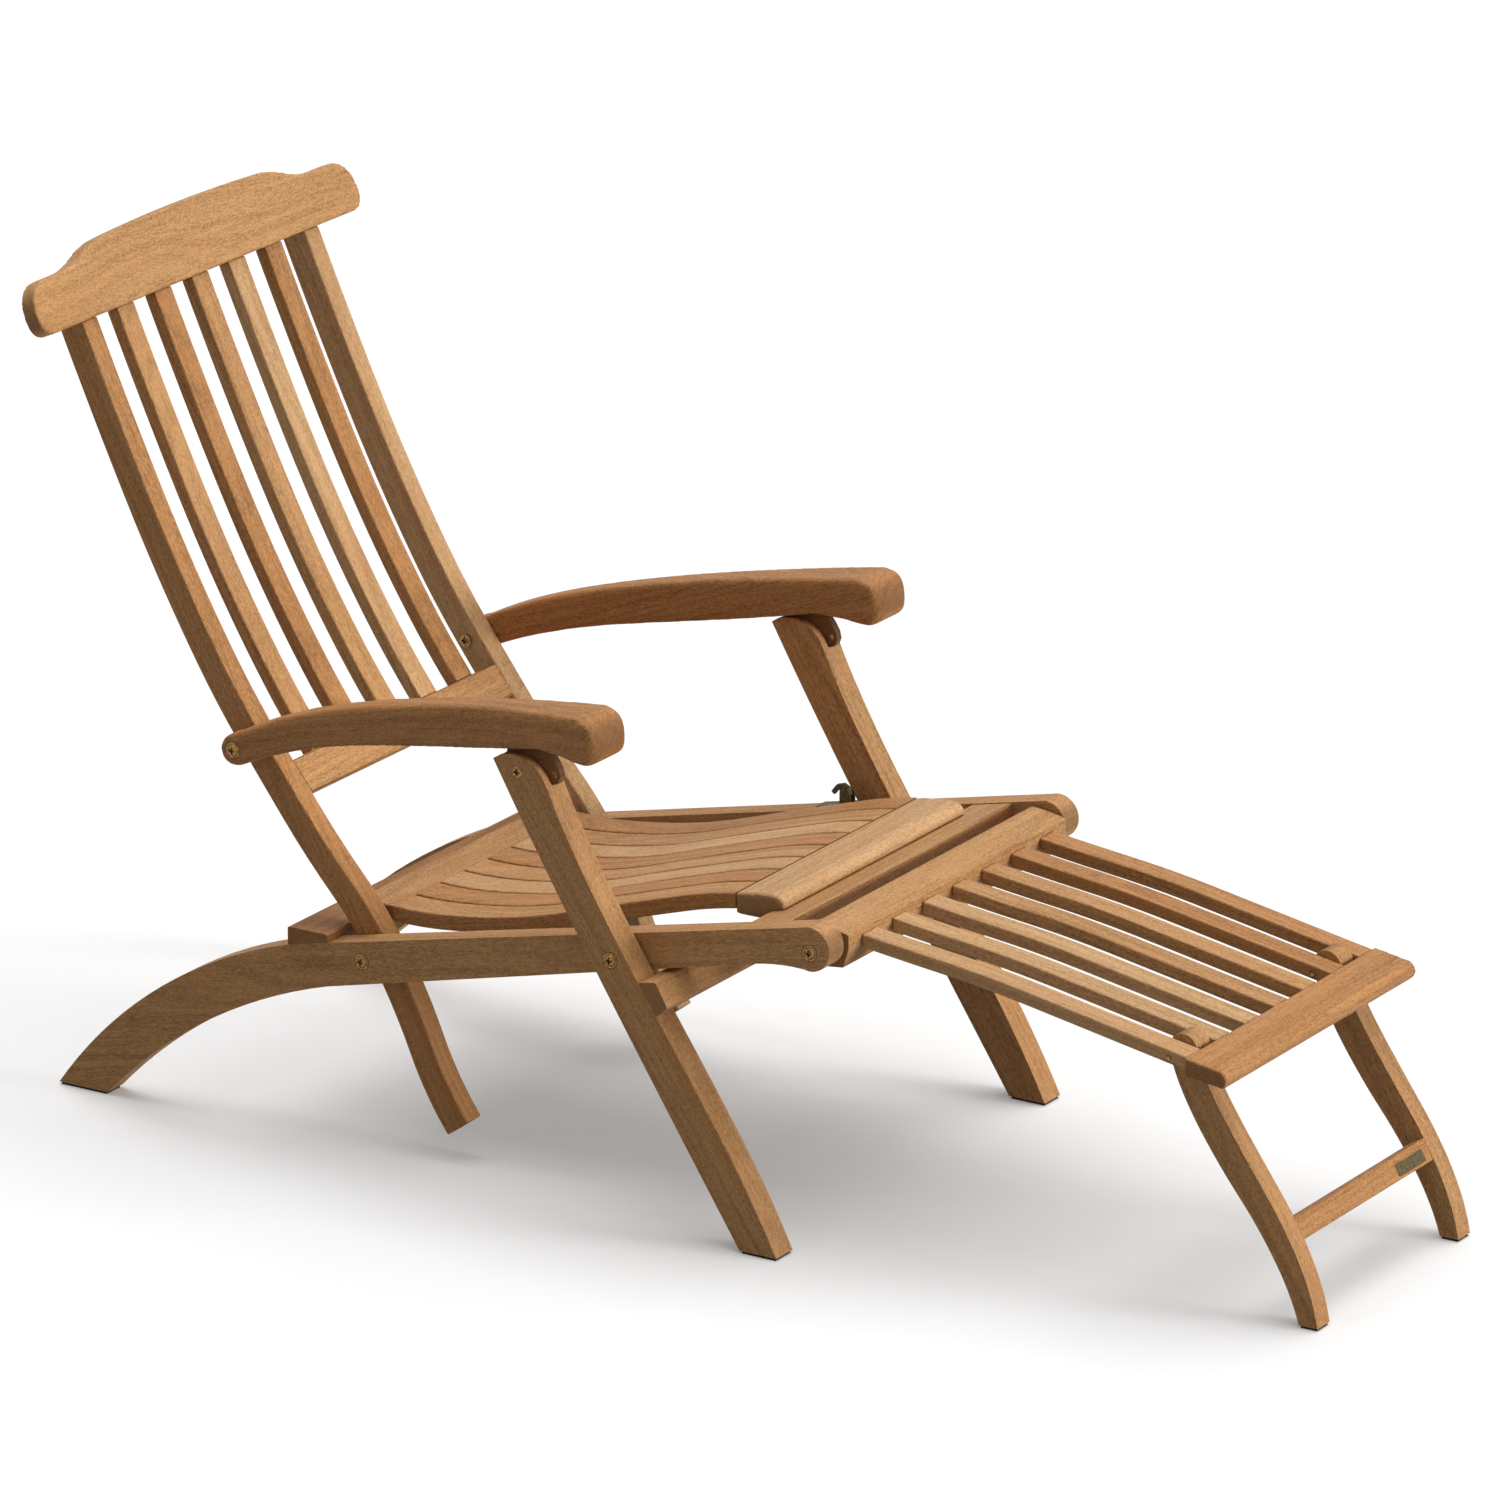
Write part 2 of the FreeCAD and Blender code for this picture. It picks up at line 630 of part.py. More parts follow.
back_nut = shaft(back_pivot, nut_radius, nut_end, stile_in - face_gap)
back_ring = shaft(back_pivot, washer_radius, stile_out + face_gap, rail_in)
back_bolt = bolt(back_pivot, rail_out, nut_end).fuse([back_nut, back_ring]).removeSplitter()
rail = rail.cut(bolt_hole(back_pivot, rail_out, rail_in - 1, 0))
stile = stile.cut(bore(back_pivot, bolt_radius, running_fit, stile_in - 1, stile_out + 1))

leg_ring = shaft(leg_pivot, washer_radius, rail_out, leg_in - face_gap)
leg_bolt = bolt(leg_pivot, leg_out, rail_in + blind_end).fuse(leg_ring).removeSplitter()
leg = leg.cut(bolt_hole(leg_pivot, leg_out, leg_in - 1, running_fit))
rail = rail.cut(bore(leg_pivot, bolt_radius, 0, rail_in + blind_end, rail_out + 1))

arm_nut = shaft(arm_pivot, nut_radius, nut_end, stile_in)
arm_ring = shaft(arm_pivot, washer_radius, stile_out, rail_in - face_gap)
arm_bolt = bolt(arm_pivot, rail_out, nut_end).fuse([arm_nut, arm_ring]).removeSplitter()
arm = arm.cut(bolt_hole(arm_pivot, rail_out, rail_in - 1, running_fit))
stile = stile.cut(bore(arm_pivot, bolt_radius, 0, stile_in - 1, stile_out + 1))

rest_bolt_end = footrest_half - rest_bolt_reach
rest_ring = shaft(footrest_pivot, washer_radius, footrest_half + face_gap, rail_in)
rest_bolt = bolt(footrest_pivot, rail_out, rest_bolt_end).fuse(rest_ring).removeSplitter()
rail = rail.cut(bolt_hole(footrest_pivot, rail_out, rail_in - 1, 0))
rest_bores = pair([bore(footrest_pivot, bolt_radius, running_fit, rest_bolt_end - 1, footrest_half + 1)])
footrest_rear_rail = footrest_rear_rail.cut(rest_bores)

arm_pin_solid = shaft(arm_pin, pin_radius, leg_in + blind_end, leg_out + pin_show)
leg = leg.cut(bore(arm_pin, pin_radius, 0, leg_in + blind_end, leg_out + 1))

prop_pin_in = prop_middle - footrest_slat_pitch / 2 - footrest_slat_width / 2
prop_pin_out = prop_middle + footrest_slat_pitch / 2 + footrest_slat_width / 2
prop_pin = shaft(footrest_leg_pivot, slim_pin_radius, prop_pin_in, prop_pin_out)
prop = prop.cut(bore(footrest_leg_pivot, slim_pin_radius, running_fit, prop_in - 1, prop_out + 1))
prop_pins = pair([prop_pin])
for name in ("footrest_slat_1", "footrest_slat_2", "footrest_slat_6", "footrest_slat_7"):
    pieces[name] = pieces[name].cut(prop_pins)

# Catch on the left rail: a plate on top of the rail and a small hook hinged on it.
catch_middle = (rail_in + rail_out) / 2
catch_plate = slab(outline((236, 319.2), [(286, 308.3)], [(286, 311.3)], [(236, 322.2)]),
                   catch_middle - 10, catch_middle + 10)
catch_ear = slab(outline((243, 318), [(243, 333)], [(247, 337)], [(253, 337)], [(257, 333)], [(257, 316)]),
                 catch_middle - 6, catch_middle - 3)
catch_ear_far = catch_ear.copy()
catch_ear_far.translate(FreeCAD.Vector(9, 0, 0))
catch_pin = shaft(catch_pivot, catch_pin_radius, catch_middle - 6, catch_middle + 6)
catch_plate = catch_plate.fuse([catch_ear, catch_ear_far, catch_pin]).removeSplitter().cut(rail)
catch_hook = slab(outline((244.5, 330), [(247, 338)], [(254, 341.5)], [(263, 339)], [(270, 330)],
                          [(266, 326.5)], [(260, 334)], [(254.5, 327)], [(248.5, 325.5)]),
                  catch_middle - 2.7, catch_middle + 2.7)
catch_hook = catch_hook.cut(bore(catch_pivot, catch_pin_radius, running_fit,
                                 catch_middle - 3, catch_middle + 3))

# Pads under the feet.
rail_pad = slab(outline((912, 0), [(974, 0)], [(974, pad_thick)], [(912, pad_thick)]),
                rail_in + 2, rail_out - 2)
leg_pad = slab(outline((3, 0), [(46, 0)], [(46, pad_thick)], [(3, pad_thick)]), leg_in + 2, leg_out - 2)
prop_pad = slab(outline((-591.5, 0), [(-571.5, 0)], [(-571.5, pad_thick)], [(-591.5, pad_thick)]),
                prop_in + 2, prop_out - 2)

both("side_rail", rail)
both("back_stile", stile)
both("armrest", arm)
both("arm_tongue", tongue)
both("front_leg", leg)
both("footrest_leg", prop)
pieces["front_crossboard"] = front_crossboard
pieces["rear_crossbar"] = rear_crossbar
pieces["seat_front_rail"] = seat_front_rail
pieces["seat_rear_rail"] = seat_rear_rail
pieces["seat_mid_batten"] = seat_mid_batten
pieces["back_bottom_rail"] = back_bottom_rail
pieces["crest_rail"] = crest
pieces["leg_stretcher"] = leg_stretcher
pieces["footrest_rear_rail"] = footrest_rear_rail
pieces["footrest_end_rail"] = footrest_end_rail
pieces["footrest_leg_stretcher"] = footrest_leg_stretcher
pieces["back_pivot_bolts"] = pair([back_bolt])
pieces["leg_pivot_bolts"] = pair([leg_bolt])
pieces["arm_pivot_bolts"] = pair([arm_bolt])
pieces["footrest_pivot_bolts"] = pair([rest_bolt])
pieces["arm_pins"] = pair([arm_pin_solid])
pieces["footrest_leg_pins"] = prop_pins
pieces["catch_plate"] = catch_plate
pieces["catch_hook"] = catch_hook
pieces["rail_pads"] = pair([rail_pad])
pieces["leg_pads"] = pair([leg_pad])
pieces["footrest_leg_pads"] = pair([prop_pad])

# The origin goes to the middle of the footprint, on the floor.
everything = Part.makeCompound(list(pieces.values()))
box = everything.optimalBoundingBox(False, False)
shift = FreeCAD.Vector(-(box.XMin + box.XMax) / 2, -(box.YMin + box.YMax) / 2, -box.ZMin)
os.makedirs("parts", exist_ok=True)
for name, shape in pieces.items():
    shape.translate(shift)
    shape.exportStep("parts/" + name + ".step")

print("nodes", len(pieces), "size", box.XLength, box.YLength, box.ZLength, "shift", shift)
pivots = {"back": back_pivot, "legs": leg_pivot, "arm pin": arm_pin, "arms": arm_pivot,
          "footrest": footrest_pivot, "footrest legs": footrest_leg_pivot, "catch": catch_pivot}
for name, point in pivots.items():
    print(name, round(point[0] + shift.y, 3), round(point[1] + shift.z, 3))
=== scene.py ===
import math
import random

import bmesh
import bpy
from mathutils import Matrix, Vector


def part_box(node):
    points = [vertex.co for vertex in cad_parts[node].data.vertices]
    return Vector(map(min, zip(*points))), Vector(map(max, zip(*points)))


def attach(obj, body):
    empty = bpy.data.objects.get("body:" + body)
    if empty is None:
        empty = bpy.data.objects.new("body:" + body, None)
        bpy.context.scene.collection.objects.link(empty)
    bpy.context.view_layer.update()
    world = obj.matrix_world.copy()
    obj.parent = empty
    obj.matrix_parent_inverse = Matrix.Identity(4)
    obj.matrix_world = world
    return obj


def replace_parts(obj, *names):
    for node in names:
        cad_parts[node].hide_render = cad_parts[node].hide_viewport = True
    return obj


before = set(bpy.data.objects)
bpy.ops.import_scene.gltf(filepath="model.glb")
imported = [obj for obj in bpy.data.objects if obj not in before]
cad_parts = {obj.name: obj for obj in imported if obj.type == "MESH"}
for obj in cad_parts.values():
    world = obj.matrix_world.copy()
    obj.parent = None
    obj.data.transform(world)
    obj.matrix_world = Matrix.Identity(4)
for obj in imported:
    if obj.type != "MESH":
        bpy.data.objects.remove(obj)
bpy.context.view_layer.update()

# Side rails. Two teak boards 30 mm thick, sawn with a sweep at the tail so that they run down to
# the floor behind. They are oiled, with rounded arrises, and every other part hangs on them.

RAIL_RUN = Vector((0, 0.977, -0.213))
ACROSS = Vector((1, 0, 0))
FORE_AND_AFT = Vector((0, 1, 0))

HONEY = ((0.571, 0.310, 0.126, 1), (0.254, 0.118, 0.041, 1))
BLUSH = (0.460, 0.189, 0.056, 1)

LOG_LENGTH = 40
HEART_ASIDE = 0.09
HEART_NEAR = 0.03
HEART_FAR = 0.13
HEART_LEAN = 0.05
RING_RATE = 210.0

RING_SHARE = 0.26
STREAK_SHARE = 0.22
LINE_SHARE = 0.20
CLOUD_SHARE = 0.24
FLECK_SHARE = 0.90
BODY_SHIFT = 0.50
FLUSH_SHARE = 0.30
PORE_SHARE = 0.30
PORE_SHADE = 0.45
END_SHARE = 0.55
END_SHADE = 0.62

OILED_ROUGHNESS = 0.52
STREAK_DULL = 0.10
FIBRE_DULL = 0.12
CLOUD_GLOSS = 0.04
FIBRE_RISE = 0.5
RING_RISE = 0.35
FLECK_RISE = 0.5
PORE_SINK = 0.8
GRAIN_RELIEF = 0.0010
BUMP_STRENGTH = 0.5
SHINE = 0.2

BOARD_ARRIS = 0.002
ARRIS_STEPS = 3
ARRIS_ANGLE = math.radians(34)
SEAM_GAP = 0.00001
SANDING_STEP = 0.0024
SANDING_PRESS = 0.5

chance = random.Random(41)


class Tone:
    """One output of a finish. Arithmetic on it adds Math nodes."""

    def __init__(self, finish, socket):
        self.finish = finish
        self.socket = socket

    def maths(self, operation, *inputs):
        return self.finish.node("ShaderNodeMath", {"operation": operation}, dict(enumerate(inputs)))

    def __add__(self, other):
        return self.maths("ADD", self, other)

    __radd__ = __add__

    def __sub__(self, other):
        return self.maths("SUBTRACT", self, other)

    def __rsub__(self, other):
        return self.maths("SUBTRACT", other, self)

    def __mul__(self, other):
        return self.maths("MULTIPLY", self, other)

    __rmul__ = __mul__

    def __abs__(self):
        return self.maths("ABSOLUTE", self)


class Finish:
    """The nodes of one material, or of the surround."""

    def __init__(self, owner):
        self.owner = owner
        owner.use_nodes = True
        self.tree = owner.node_tree
        self.tree.nodes.clear()

    def node(self, kind, settings=None, inputs=None, output=0):
        made = self.tree.nodes.new(kind)
        for name, value in (settings or {}).items():
            if name == "stops":
                for stop, (place, level) in zip(made.color_ramp.elements, value):
                    stop.position = place
                    stop.color = (level, level, level, 1)
            else:
                setattr(made, name, value)
        for key, value in (inputs or {}).items():
            if isinstance(value, Tone):
                self.tree.links.new(value.socket, made.inputs[key])
            else:
                made.inputs[key].default_value = value
        return Tone(self, made.outputs[output]) if len(made.outputs) else None

    def blend(self, share, first, second):
        return self.node("ShaderNodeMix", {"data_type": "RGBA"}, {0: share, 6: first, 7: second}, 2)

    def speckle(self, place, scale, detail=2.0, roughness=0.5):
        return self.node("ShaderNodeTexNoise", None,
                         {"Vector": place, "Scale": scale, "Detail": detail, "Roughness": roughness})

    def steps(self, level, low, high):
        return self.node("ShaderNodeValToRGB", {"stops": ((low, 0), (high, 1))}, {0: level})

    def surface(self, colour, roughness, height, relief, metal=0.0):
        bump = self.node("ShaderNodeBump", None,
                         {"Height": height, "Distance": relief, "Strength": BUMP_STRENGTH})
        shader = self.node("ShaderNodeBsdfPrincipled", None, {
            "Base Color": colour, "Roughness": roughness, "Metallic": metal, "Normal": bump,
            "Specular IOR Level": SHINE})
        self.node("ShaderNodeOutputMaterial", None, {"Surface": shader})
        return self.owner


def shaded(colour, share):
    """The same colour, darker."""
    return tuple(value * share for value in colour[:3]) + (1,)


def oiled_teak(name, middle, along, shade, depth=1.0, swirl=0.014):
    """Teak with its growth rings, streaks and pores running along the board."""
    finish = Finish(bpy.data.materials.new(name))
    light, dark = shade
    place = finish.node("ShaderNodeTexCoord", output="Object")
    local = finish.node("ShaderNodeVectorMath", {"operation": "SUBTRACT"}, {0: place, 1: middle})
    face = FORE_AND_AFT if along == ACROSS else ACROSS

    def measured(vector, direction):
        return finish.node("ShaderNodeVectorMath", {"operation": "DOT_PRODUCT"},
                           {0: vector, 1: direction}, "Value")

    run = measured(local, along)
    wide = measured(local, face)
    deep = measured(local, along.cross(face).normalized())

    def figure(lengthwise, crosswise, detail, roughness=0.5):
        """Marks drawn out along the grain. The first two numbers are how many there are to a metre."""
        shift = chance.uniform(0, LOG_LENGTH)
        grain = finish.node("ShaderNodeCombineXYZ", None, {
            "X": run * lengthwise + shift, "Y": wide * crosswise + shift, "Z": deep * crosswise})
        return finish.speckle(grain, scale=1.0, detail=detail, roughness=roughness)

    heart_wide = chance.uniform(-HEART_ASIDE, HEART_ASIDE)
    heart_deep = chance.choice((-1, 1)) * chance.uniform(HEART_NEAR, HEART_FAR)
    lean = chance.uniform(-HEART_LEAN, HEART_LEAN)
    sway = figure(lengthwise=3.4, crosswise=11.0, detail=1.0)
    from_heart = finish.node("ShaderNodeCombineXYZ", None, {
        "X": wide - heart_wide + run * lean, "Y": deep - heart_deep + run * lean})
    radius = finish.node("ShaderNodeVectorMath", {"operation": "LENGTH"}, {0: from_heart}, "Value")
    growth = finish.node("ShaderNodeTexNoise", {"noise_dimensions": "1D"},
                         {"W": radius + sway * swirl, "Scale": RING_RATE, "Detail": 2.5, "Roughness": 0.62})
    rings = finish.steps(growth, low=0.40, high=0.63)
    streak = finish.steps(figure(lengthwise=1.8, crosswise=62.0, detail=3.0, roughness=0.6),
                          low=0.36, high=0.66)
    line = finish.steps(figure(lengthwise=6.0, crosswise=240.0, detail=3.0, roughness=0.62),
                        low=0.38, high=0.66)
    cloud = finish.steps(figure(lengthwise=3.2, crosswise=12.0, detail=2.5), low=0.32, high=0.70)
    fleck = finish.steps(figure(lengthwise=210.0, crosswise=560.0, detail=3.0, roughness=0.8),
                         low=0.35, high=0.65)
    fibre = figure(lengthwise=16.0, crosswise=900.0, detail=2.0, roughness=0.7)
    pores = finish.steps(figure(lengthwise=55.0, crosswise=1100.0, detail=1.0), low=0.58, high=0.70)
    flush = finish.steps(figure(lengthwise=3.0, crosswise=16.0, detail=2.0), low=0.40, high=0.75)

    body = rings * (RING_SHARE * depth) + streak * (STREAK_SHARE * depth) + line * LINE_SHARE
    body = body + cloud * CLOUD_SHARE + fleck * FLECK_SHARE - BODY_SHIFT
    wood = finish.blend(body, light, dark)
    wood = finish.blend(flush * FLUSH_SHARE, wood, BLUSH)
    wood = finish.blend(pores * PORE_SHARE, wood, shaded(dark, PORE_SHADE))
    facing = finish.node("ShaderNodeTexCoord", output="Normal")
    end_grain = finish.steps(abs(measured(facing, along)), low=0.72, high=0.96)
    wood = finish.blend(end_grain * END_SHARE, wood, shaded(dark, END_SHADE))
    roughness = OILED_ROUGHNESS + streak * STREAK_DULL + fibre * FIBRE_DULL - cloud * CLOUD_GLOSS
    height = fibre * FIBRE_RISE + rings * RING_RISE + fleck * FLECK_RISE - pores * PORE_SINK
    return finish.surface(wood, roughness, height, GRAIN_RELIEF)


def joined(piece):
    """Joins the facets of a piece at their seams."""
    weld = piece.modifiers.new("weld", "WELD")
    weld.merge_threshold = SEAM_GAP


def eased(piece, name, arris, steps):
    """Rounds the edges of a piece."""
    bevel = piece.modifiers.new(name, "BEVEL")
    bevel.width = arris
    bevel.segments = steps
    bevel.angle_limit = ARRIS_ANGLE


def planed(piece, arris):
    """Rounds a board's arrises with a plane."""
    joined(piece)
    eased(piece, "arris", arris, ARRIS_STEPS)
    piece.modifiers.new("fair", "WEIGHTED_NORMAL")
    return piece


def sanded(piece, strokes):
    """Sands a board well round, as where hands and legs touch it."""
    blank = piece.modifiers.new("blank", "REMESH")
    blank.mode = "VOXEL"
    blank.voxel_size = SANDING_STEP
    blank.use_smooth_shade = True
    sanding = piece.modifiers.new("sanding", "SMOOTH")
    sanding.factor = SANDING_PRESS
    sanding.iterations = strokes
    return piece


def teak_for(node, along, shade, depth=1.0, swirl=0.014):
    """Teak with its grain laid through the middle of one board."""
    low, high = [Vector(corner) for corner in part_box(node)]
    return oiled_teak("teak_" + node, (low + high) / 2, along.normalized(), shade, depth, swirl)


def coated(node, finish):
    """Gives a whole piece one finish."""
    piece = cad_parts[node]
    for place in piece.material_slots:
        place.material = finish
    return piece


def timber(node, along, shade, arris=BOARD_ARRIS, depth=1.0, swirl=0.014, strokes=0):
    """Finishes one board of the frame."""
    piece = coated(node, teak_for(node, along, shade, depth, swirl))
    return sanded(piece, strokes) if strokes else planed(piece, arris)


timber("side_rail_left", RAIL_RUN, HONEY)
timber("side_rail_right", RAIL_RUN, HONEY)

# Cross pieces of the frame. A teak board tenoned between the rails at the front of the seat, a
# flat bar screwed on top of them behind the back, and a batten under the middle of the seat.

AMBER = ((0.522, 0.256, 0.093, 1), (0.219, 0.093, 0.029, 1))
BATTEN_ARRIS = 0.001

timber("front_crossboard", ACROSS, HONEY)
timber("rear_crossbar", ACROSS, AMBER)
timber("seat_mid_batten", ACROSS, HONEY, arris=BATTEN_ARRIS)

# Seat. Eight dished slats tenoned into a rounded front board and a rear board. Each slat is cut
# from another plank, so their colour runs from straw to orange.

SEAT_RUN = Vector((0, 0.963, -0.268))
STRAW = ((0.630, 0.386, 0.186, 1), (0.324, 0.172, 0.070, 1))
SEAT_SHADES = (HONEY, AMBER, STRAW, HONEY, AMBER, STRAW, HONEY, AMBER)

timber("seat_front_rail", ACROSS, STRAW, strokes=9)
timber("seat_rear_rail", ACROSS, HONEY)
for number, shade in enumerate(SEAT_SHADES, 1):
    timber("seat_slat_%d" % number, SEAT_RUN, shade)

# Back. Two bent stiles joined by a bottom rail and a shaped crest rail, with five bent slats
# tenoned between them. All are sawn from thick teak, so the grain runs straight through the bend.

BACK_RUN = Vector((0, 0.47, 0.883))
BACK_SHADES = (HONEY, AMBER, HONEY, STRAW, AMBER)

timber("back_stile_left", BACK_RUN, STRAW)
timber("back_stile_right", BACK_RUN, AMBER)
timber("back_bottom_rail", ACROSS, HONEY)
timber("crest_rail", ACROSS, HONEY, depth=0.7, swirl=0.045, strokes=7)
for number, shade in enumerate(BACK_SHADES, 1):
    timber("back_slat_%d" % number, BACK_RUN, shade)

# Arms. Curved teak armrests that widen to a rounded front. The hardwood tongue mortised under
# each one hooks over the pin in the leg's slotted top, and its round nose stands out in front.
# The tongue is a darker wood than the arm, and its colour is darker still with painted shade from the arm
# above.

ARM_RUN = Vector((0, 0.955, -0.297))
TAN = ((0.478, 0.228, 0.081, 1), (0.197, 0.083, 0.026, 1))
# A dark wood for the tongues, darkened further with painted shade from the arm above them.
UMBER_WITH_PAINTED_SHADE = ((0.200, 0.090, 0.034, 1), (0.095, 0.040, 0.015, 1))
ARM_STROKES = 34
TONGUE_ARRIS = 0.0008
NOSE = ((0.0900, 0.4862), (0.0845, 0.4885), (0.0815, 0.4960),
        (0.0835, 0.5050), (0.0890, 0.5140), (0.0970, 0.5240))
FLATNESS = 0.00005
SAME_LINE = 0.0001
PLACES = 5


def shaped(name, work, finish):
    """Turns finished work into a piece."""
    mesh = bpy.data.meshes.new(name)
    bmesh.ops.recalc_face_normals(work, faces=work.faces)
    work.to_mesh(mesh)
    work.free()
    mesh.materials.append(finish)
    piece = bpy.data.objects.new(name, mesh)
    bpy.context.scene.collection.objects.link(piece)
    return piece


def side_outline(node, side):
    """The outline of a board's flat outer side, as a ring of (y, z) points."""
    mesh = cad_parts[node].data
    outer = side * max(side * point.co.x for point in mesh.vertices)
    seams = {}
    for facet in mesh.polygons:
        ring = [mesh.vertices[number].co for number in facet.vertices]
        if all(abs(point.x - outer) < FLATNESS for point in ring):
            ends = [(round(point.y, PLACES), round(point.z, PLACES)) for point in ring]
            for seam in zip(ends, ends[1:] + ends[:1]):
                seams[frozenset(seam)] = seams.get(frozenset(seam), 0) + 1
    loose = [tuple(seam) for seam, uses in seams.items() if uses == 1 and len(seam) == 2]
    rings = []
    while loose:
        ring = list(loose.pop())
        while ring[0] != ring[-1]:
            found = next(seam for seam in loose if ring[-1] in seam)
            loose.remove(found)
            ring.append(found[0] if found[1] == ring[-1] else found[1])
        rings.append(ring[:-1])
    return max(rings, key=len)


def board(ring, first, last):
    """A board sawn to a ring of (y, z) points, from one x to another."""
    work = bmesh.new()
    near, far = [[work.verts.new((x, y, z)) for y, z in ring] for x in (first, last)]
    work.faces.new(near)
    work.faces.new(far[::-1])
    for number in range(len(ring)):
        work.faces.new((near[number - 1], near[number], far[number], far[number - 1]))
    return work


def with_nose(ring):
    """A tongue's outline, with its straight front edge led round the nose."""
    front = min(y for y, z in ring) + SAME_LINE
    place = next(number for number in range(len(ring)) if max(ring[number - 1][0], ring[number][0]) < front)
    rising = ring[place - 1][1] < ring[place][1]
    return ring[:place] + list(NOSE if rising else NOSE[::-1]) + ring[place:]


for side, word in ((1, "left"), (-1, "right")):
    timber("armrest_" + word, ARM_RUN, TAN, strokes=ARM_STROKES)
    node = "arm_tongue_" + word
    (near_side, _, _), (far_side, _, _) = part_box(node)
    sawn = board(with_nose(side_outline(node, side)), near_side, far_side)
    # The tongue's colour carries painted shade from the arm above.
    tongue = planed(shaped("tongue_" + word, sawn, teak_for(node, ARM_RUN, UMBER_WITH_PAINTED_SHADE)), TONGUE_ARRIS)
    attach(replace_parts(tongue, node), "arm_" + word)

# Front legs. Curved teak legs with a round, slotted top, bolted outside the rails and joined by
# a shaped stretcher under the seat.

LEG_RUN = Vector((0, 0.55, 0.835))
LEG_ARRIS = 0.003

timber("front_leg_left", LEG_RUN, HONEY, arris=LEG_ARRIS)
timber("front_leg_right", LEG_RUN, HONEY, arris=LEG_ARRIS)
timber("leg_stretcher", ACROSS, HONEY)

# Leg rest. A rounded rail on the pivots, seven slats and an end rail, tenoned together. The slats
# on the right are from paler planks than those on the left.

REST_RUN = Vector((0, 0.985, 0.17))
REST_SHADES = (STRAW, STRAW, STRAW, HONEY, HONEY, AMBER, AMBER)

timber("footrest_rear_rail", ACROSS, HONEY, arris=LEG_ARRIS)
timber("footrest_end_rail", ACROSS, AMBER, strokes=9)
for number, shade in enumerate(REST_SHADES, 1):
    timber("footrest_slat_%d" % number, REST_RUN, shade)

# Leg rest legs. Two swept teak legs with round knuckles, each hinged between two slats, and a
# bar tenoned between them.

PROP_RUN = Vector((0, 0.52, 0.854))
BAR_DOWN = Vector((0, -12.0, -23.0)).normalized()
BAR_FACING = Vector((0, -23.0, 12.0)).normalized()
BAR_SET_BACK = 0.0195
BAR_DROP = 0.0040
BAR_HIGH = 0.0259
BAR_THICK = 0.0181
BAR_BURIED = 0.002
BAR_ARRIS = 0.0015

rest_leg_low, rest_leg_high = [Vector(corner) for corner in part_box("footrest_leg_left")]
for side, word in ((1, "left"), (-1, "right")):
    node = "footrest_leg_" + word
    sawn = board(side_outline(node, side), side * rest_leg_low.x, side * rest_leg_high.x)
    leg = planed(shaped("rest_leg_" + word, sawn, teak_for(node, PROP_RUN, HONEY)), BOARD_ARRIS)
    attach(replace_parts(leg, node), "footrest_legs")

bar_low, bar_high = [Vector(corner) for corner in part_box("footrest_leg_stretcher")]
bar_top = Vector((0, bar_low.y + BAR_SET_BACK, bar_high.z - BAR_DROP))
bar_foot = bar_top + BAR_DOWN * BAR_HIGH
bar_ring = [(corner.y, corner.z) for corner in
            (bar_top, bar_foot, bar_foot - BAR_FACING * BAR_THICK, bar_top - BAR_FACING * BAR_THICK)]
bar_reach = rest_leg_low.x + BAR_BURIED
sawn = board(bar_ring, -bar_reach, bar_reach)
bar = planed(shaped("rest_bar", sawn, teak_for("footrest_leg_stretcher", ACROSS, AMBER)), BAR_ARRIS)
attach(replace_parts(bar, "footrest_leg_stretcher"), "footrest_legs")

# Pivot bolts. Round brass bolts with a domed, cross-slotted head let into the wood, a washer
# between the two pieces they join, and a domed nut on the inside of the back's stiles.

HEAD_RADIUS = 0.0090
HEAD_DEPTH = 0.0018
RIM_RISE = 0.0003
RIM_ROUND = 0.0005
GROOVE_OUTER = 0.0007
GROOVE_INNER = 0.0002
DOME_RADIUS = 0.0066
DOME_RISE = 0.0026
DOME_STEPS = 6
SHANK_RADIUS = 0.0040
WASHER_RADIUS = 0.0110
NUT_RADIUS = 0.0075
NUT_THICK = 0.0026
NUT_DOME_RADIUS = 0.0060
NUT_DOME_RISE = 0.0016
BLIND_END = 0.004
REST_BOLT_REACH = 0.045
SLOT_LONG = 0.0074
SLOT_WIDE = 0.0024
SLOT_DEEP = 0.0034
TURNING_STEPS = 40
CREASE = math.radians(35)

BRIGHT_BRASS = (0.34, 0.195, 0.070, 1)
BROWNED_BRASS = (0.085, 0.045, 0.018, 1)
HANDLED_ROUGHNESS = 0.26
TARNISH_SHARE = 0.8
SCRATCH_SHARE = 0.2
TARNISH_DULL = 0.20
SCRATCH_DULL = 0.14
SCRATCH_RISE = 0.6
TARNISH_RISE = 0.4
BRASS_RELIEF = 0.0002


def dull_brass(name, clean, tarnished, polish):
    """Brass that has tarnished in clouds, with fine scratches."""
    finish = Finish(bpy.data.materials.new(name))
    place = finish.node("ShaderNodeTexCoord", output="Object")
    cloud = finish.speckle(place, scale=240.0, detail=3.0, roughness=0.6)
    scratch = finish.speckle(place, scale=1500.0, detail=2.0, roughness=0.6)
    tarnish = finish.steps(cloud, low=0.38, high=0.66)
    colour = finish.blend(tarnish * TARNISH_SHARE + scratch * SCRATCH_SHARE, clean, tarnished)
    roughness = polish + tarnish * TARNISH_DULL + scratch * SCRATCH_DULL
    height = scratch * SCRATCH_RISE + cloud * TARNISH_RISE
    return finish.surface(colour, roughness, height, BRASS_RELIEF, metal=1.0)


